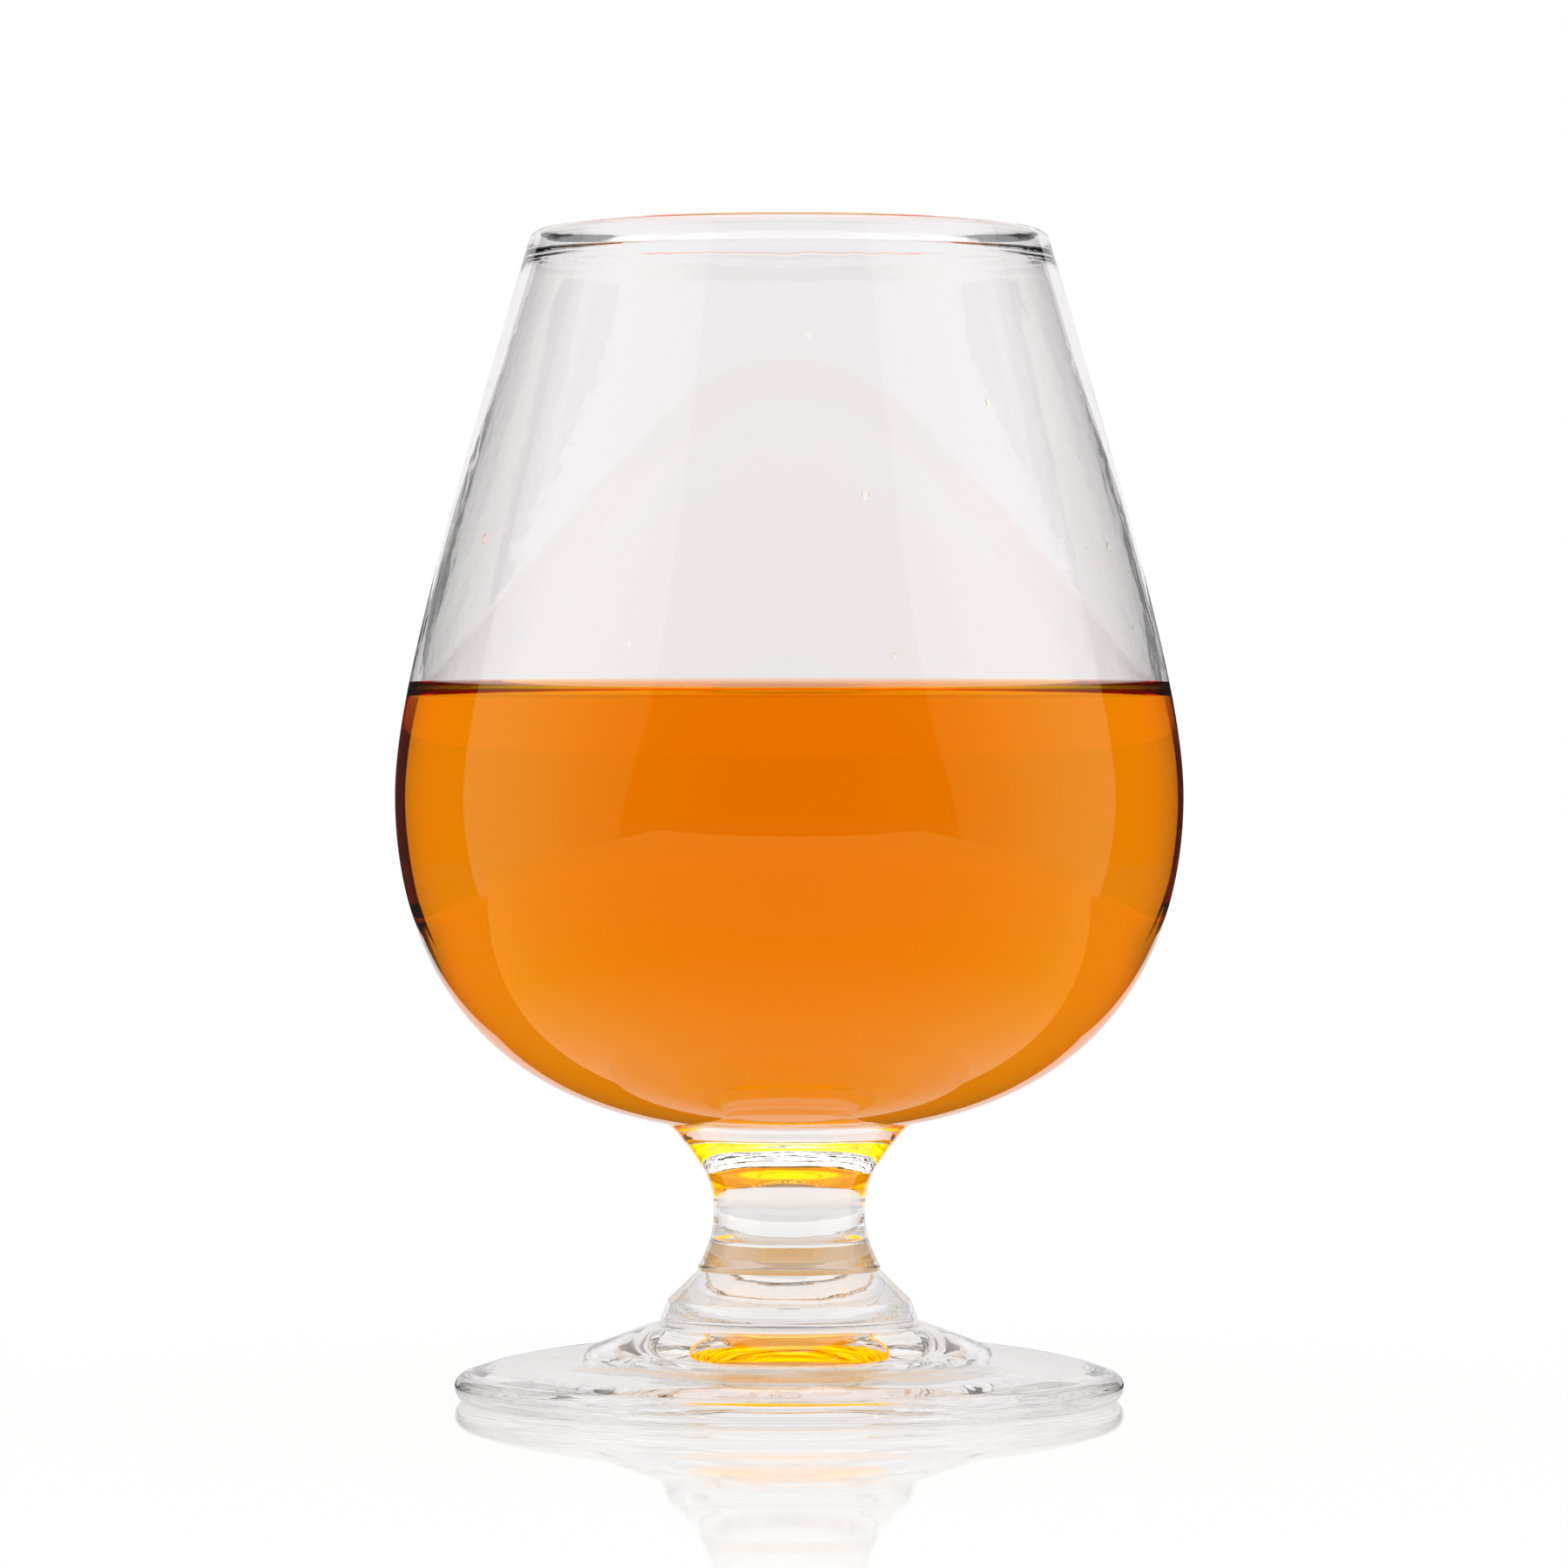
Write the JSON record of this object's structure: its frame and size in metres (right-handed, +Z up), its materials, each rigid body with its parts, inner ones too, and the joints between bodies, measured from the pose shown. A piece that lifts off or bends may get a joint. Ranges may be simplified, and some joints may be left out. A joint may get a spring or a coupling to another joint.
{
  "type": "brandy snifter",
  "caption": "Footed brandy snifter: a wide blown bowl narrowing to a beaded rim, on a short waisted stem and a round foot, with brandy inside that swirls.",
  "frame": {"origin": "on the table, on the axis of the glass, under the middle of the foot", "axes": "+Z up along the axis of the glass, from the foot to the rim; X and Y are free, because the glass is round"},
  "size_m": [0.09, 0.09, 0.1333],
  "materials": {
    "clear_glass": "clear fire-polished soda-lime glass",
    "brandy": "clear amber liquid with a still surface"
  },
  "bodies": {
    "glass": {"foot": "clear_glass", "stem": "clear_glass", "bowl": "clear_glass"},
    "drink": {"brandy": "brandy"}
  },
  "joints": [
    {"name": "brandy_swirl", "type": "hinge", "parent": "glass", "child": "drink", "pos_m": [0, 0, 0.07], "axis": [0, 0, 1], "continuous": true}
  ]
}
